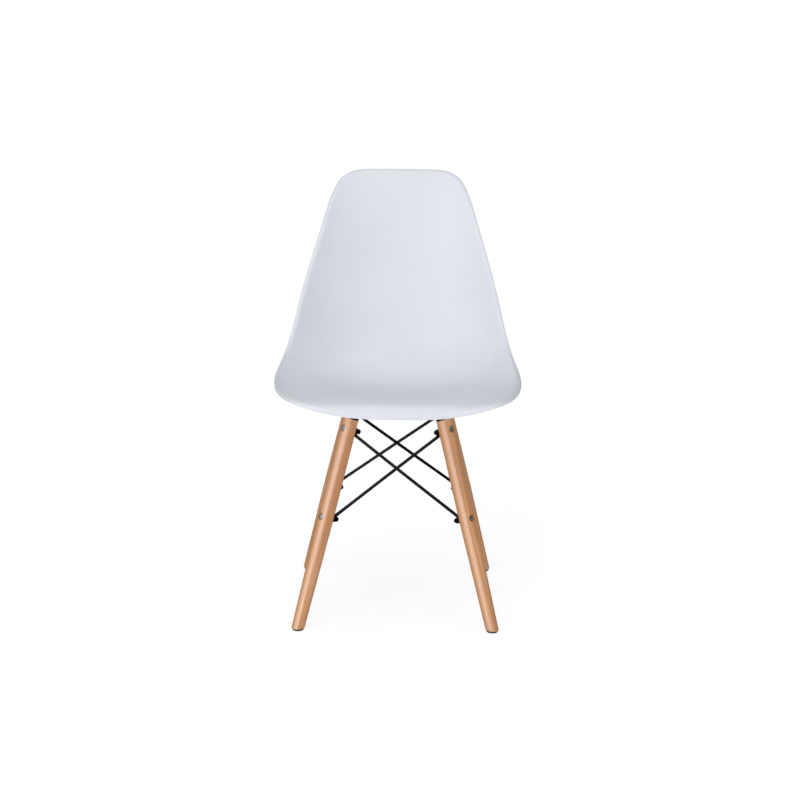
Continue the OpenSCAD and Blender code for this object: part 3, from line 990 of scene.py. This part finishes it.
CAMERA_TARGET = Vector((0.0041, -0.0157, 0.3954))
CAMERA_DISTANCE = 3.0885
CAMERA_ELEVATION = 12.453
CAMERA_YAW = 0.187
CAMERA_ROLL = 0.597
CAMERA_LENS = 73.314
CAMERA_SENSOR = 36

FLOOR_SEEN = 0.82
FLOOR_GIVEN = 0.75
WORLD_SEEN = 1.1
WORLD_GIVEN = 0.06


def make_camera():
    elevation, yaw, roll = (math.radians(a) for a in (CAMERA_ELEVATION, CAMERA_YAW, CAMERA_ROLL))
    level = math.cos(elevation)
    back = Vector((math.sin(yaw) * level, -math.cos(yaw) * level, math.sin(elevation)))
    right = (-back).cross(Vector((0, 0, 1))).normalized()
    up = right.cross(-back)
    across = math.cos(roll) * right + math.sin(roll) * up
    upright = math.cos(roll) * up - math.sin(roll) * right
    data = bpy.data.cameras.new("camera")
    data.lens = CAMERA_LENS
    data.sensor_width = CAMERA_SENSOR
    camera = bpy.data.objects.new("camera", data)
    camera.matrix_world = (
        Matrix.Translation(CAMERA_TARGET + CAMERA_DISTANCE * back)
        @ Matrix((across, upright, back)).transposed().to_4x4())
    bpy.context.scene.collection.objects.link(camera)
    bpy.context.scene.camera = camera


def sun(name, azimuth, elevation, strength, spread, mirrored=False, diffuse=True):
    """Even soft light from far away. Azimuth 0 is in front, 90 to the right.

    A mirrored light shows in reflections. One that isn't diffuse shows only there.
    """
    data = bpy.data.lights.new(name, "SUN")
    data.angle = math.radians(spread)
    data.energy = strength
    light = bpy.data.objects.new(name, data)
    light.visible_glossy = mirrored
    light.visible_diffuse = diffuse
    a, e = math.radians(azimuth), math.radians(elevation)
    away = Vector((math.sin(a) * math.cos(e), -math.cos(a) * math.cos(e), math.sin(e)))
    light.rotation_mode = "QUATERNION"
    light.rotation_quaternion = away.to_track_quat("Z", "Y")
    bpy.context.scene.collection.objects.link(light)


def for_the_eye(tree, seen, given, output):
    """A strength with one value to the eye and another for the light given to the chair."""
    path = tree.nodes.new("ShaderNodeLightPath")
    strength = tree.nodes.new("ShaderNodeMapRange")
    strength.inputs["To Min"].default_value = given
    strength.inputs["To Max"].default_value = seen
    tree.links.new(path.outputs["Is Camera Ray"], strength.inputs["Value"])
    tree.links.new(strength.outputs["Result"], output)


def make_floor():
    """A plain white floor that runs far behind the chair, with a faint shadow."""
    far = 40
    mesh = bpy.data.meshes.new("floor")
    mesh.from_pydata([(-far, -far, 0), (far, -far, 0), (far, far, 0), (-far, far, 0)], [], [(0, 1, 2, 3)])
    floor = bpy.data.objects.new("floor", mesh)
    bpy.context.scene.collection.objects.link(floor)
    floor.visible_glossy = False
    s = Surface("floor", Roughness=0.9)
    s.shader.inputs["Emission Color"].default_value = (1, 1, 1, 1)
    for_the_eye(s.tree, FLOOR_SEEN, FLOOR_GIVEN, s.shader.inputs["Emission Strength"])
    s.wire("Base Color", s.tones(s.noise(s.place(), 3, 2), (140, 140, 142), (144, 144, 144)))
    mesh.materials.append(s.material)


def make_world():
    world = bpy.data.worlds.new("studio")
    world.use_nodes = True
    background = world.node_tree.nodes["Background"]
    background.inputs["Color"].default_value = (1, 1, 1, 1)
    for_the_eye(world.node_tree, WORLD_SEEN, WORLD_GIVEN, background.inputs["Strength"])
    bpy.context.scene.world = world


def make_studio():
    """Floor, world and lights, each light with its azimuth, elevation, strength and spread."""
    make_floor()
    make_world()
    sun("key", -20, 50, 0.25, 18, mirrored=True)
    sun("front_box", -26, 14, 0.92, 56, mirrored=True)
    sun("left_card", -62, 22, 0.9, 80, mirrored=True, diffuse=False)
    sun("left_side", -50, 14, 0.2, 50)
    sun("right_side", 48, 14, 0.46, 50)
    sun("overhead", 0, 82, 1.16, 60)
    sun("behind", 180, 26, 0.66, 40)
    bpy.context.scene.view_settings.view_transform = "Standard"


# ---- The chair ------------------------------------------------------------------------------

METALS = {"black": black_steel(), "nut": black_nut(), "zinc": zinc_steel()}

make_camera()
make_seat()
make_legs()
make_glides()
make_hub()
make_arms()
make_mounts()
make_braces()
make_fasteners()
finish_inserts()
make_studio()
